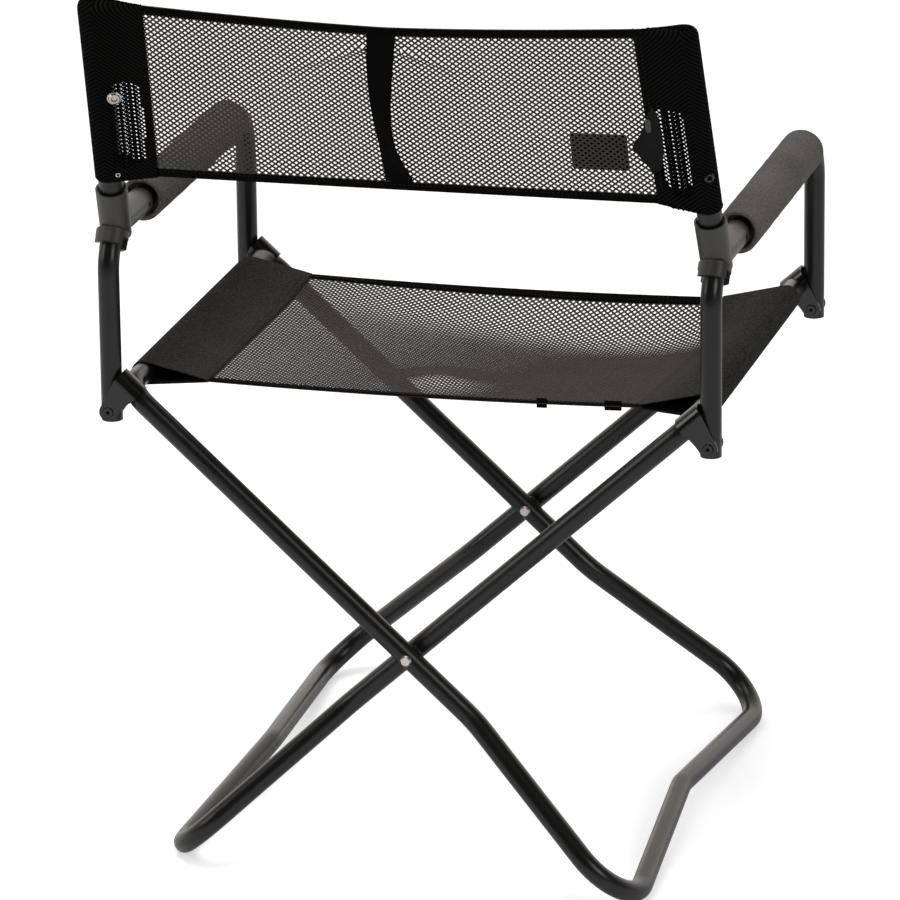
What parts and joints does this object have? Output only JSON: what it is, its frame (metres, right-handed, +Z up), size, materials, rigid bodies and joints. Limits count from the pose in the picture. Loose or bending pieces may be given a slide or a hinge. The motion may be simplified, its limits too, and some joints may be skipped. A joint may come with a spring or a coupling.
{
  "type": "folding camp chair",
  "caption": "Folding armchair of bent tube with crossed legs, foam armrests and slung mesh cloth for seat and back; it folds sideways.",
  "frame": {"origin": "on the floor, under the middle of the opened chair's box", "axes": "+Z up, the sitter faces -Y, +X is the sitter's left"},
  "size_m": [0.58, 0.5731, 0.8071],
  "materials": {
    "frame_coat": "satin charcoal powder coat",
    "bracket_coat": "black-charcoal powder coat",
    "rivet_steel": "bright zinc",
    "foam": "closed-cell foam skin",
    "socket_plastic": "moulded grey, fine grain",
    "black_plastic": "moulded black",
    "screw_black": "blackened steel",
    "mesh_cloth": "open polyester mesh",
    "webbing": "woven webbing"
  },
  "bodies": {
    "arm_left": {"left_arm_tube": "frame_coat", "left_armrest_grip": "foam", "left_back_socket": "socket_plastic", "left_socket_screw": "screw_black", "left_back_post": "frame_coat", "left_post_cap": "black_plastic"},
    "frame_a": {"left_leg_frame": "frame_coat", "left_seat_rail": "frame_coat", "left_rear_bracket": "bracket_coat", "left_front_bracket": "bracket_coat", "left_pivot_rivets": "bracket_coat", "cross_rivets": "rivet_steel", "cross_washers": "rivet_steel"},
    "frame_b": {"right_leg_frame": "frame_coat", "right_seat_rail": "frame_coat", "right_rear_bracket": "bracket_coat", "right_front_bracket": "bracket_coat", "right_pivot_rivets": "bracket_coat"},
    "arm_right": {"right_arm_tube": "frame_coat", "right_armrest_grip": "foam", "right_back_socket": "socket_plastic", "right_socket_screw": "screw_black", "right_back_post": "frame_coat", "right_post_cap": "black_plastic"},
    "seat_left": {"left_seat_sling": "mesh_cloth"},
    "seat_right": {"right_seat_sling": "mesh_cloth", "hem_tabs": "webbing"},
    "back_left": {"left_back_sling": "mesh_cloth", "press_stud": "rivet_steel", "left_sleeve_eyelet": "rivet_steel", "back_strap": "webbing"},
    "back_right": {"right_back_sling": "mesh_cloth", "back_patch": "webbing", "strap_tab": "webbing", "tab_slider": "rivet_steel", "right_sleeve_eyelet": "bracket_coat"}
  },
  "joints": [
    {"name": "fold", "type": "hinge", "parent": "arm_left", "child": "frame_a", "pos_m": [0.27, 0.01, 0.4165], "axis": [0, -1, 0], "range_deg": [0, 45], "deforming": ["left_seat_sling", "right_seat_sling", "hem_tabs", "left_back_sling", "right_back_sling", "back_strap", "back_patch", "press_stud", "strap_tab", "tab_slider", "left_sleeve_eyelet", "right_sleeve_eyelet"]},
    {"name": "cross", "type": "hinge", "parent": "frame_a", "child": "frame_b", "pos_m": [0, 0, 0.2045], "axis": [0, 1, 0], "range_deg": [0, 90]},
    {"name": "right_arm", "type": "hinge", "parent": "frame_b", "child": "arm_right", "pos_m": [-0.27, -0.01, 0.4165], "axis": [0, -1, 0], "range_deg": [0, 45]},
    {"name": "seat_left", "type": "hinge", "parent": "frame_a", "child": "seat_left", "pos_m": [0.25477, 0.01, 0.43713], "axis": [0, -1, 0], "range_deg": [0, 40.18]},
    {"name": "seat_fold", "type": "hinge", "parent": "seat_left", "child": "seat_right", "pos_m": [0, 0, 0.43113], "axis": [0, 1, 0], "range_deg": [0, 170.31]},
    {"name": "back_left", "type": "hinge", "parent": "arm_left", "child": "back_left", "pos_m": [0.2675, 0.213, 0.62], "axis": [0.0428, -0.3335, -0.9418], "range_deg": [0, 68.69]},
    {"name": "back_fold", "type": "hinge", "parent": "back_left", "child": "back_right", "pos_m": [0.00001, 0.23544, 0.71148], "axis": [0.0102, 0.3676, 0.9299], "range_deg": [0, 164.43]}
  ],
  "couplings": [
    {"joint": "cross", "follows": "fold", "ratio": 2},
    {"joint": "right_arm", "follows": "fold", "ratio": 1},
    {"joint": "seat_left", "follows": "fold", "ratio": 0.89178},
    {"joint": "seat_fold", "follows": "fold", "ratio": 3.7836},
    {"joint": "back_left", "follows": "fold", "ratio": 1.5254},
    {"joint": "back_fold", "follows": "fold", "ratio": 3.653}
  ]
}
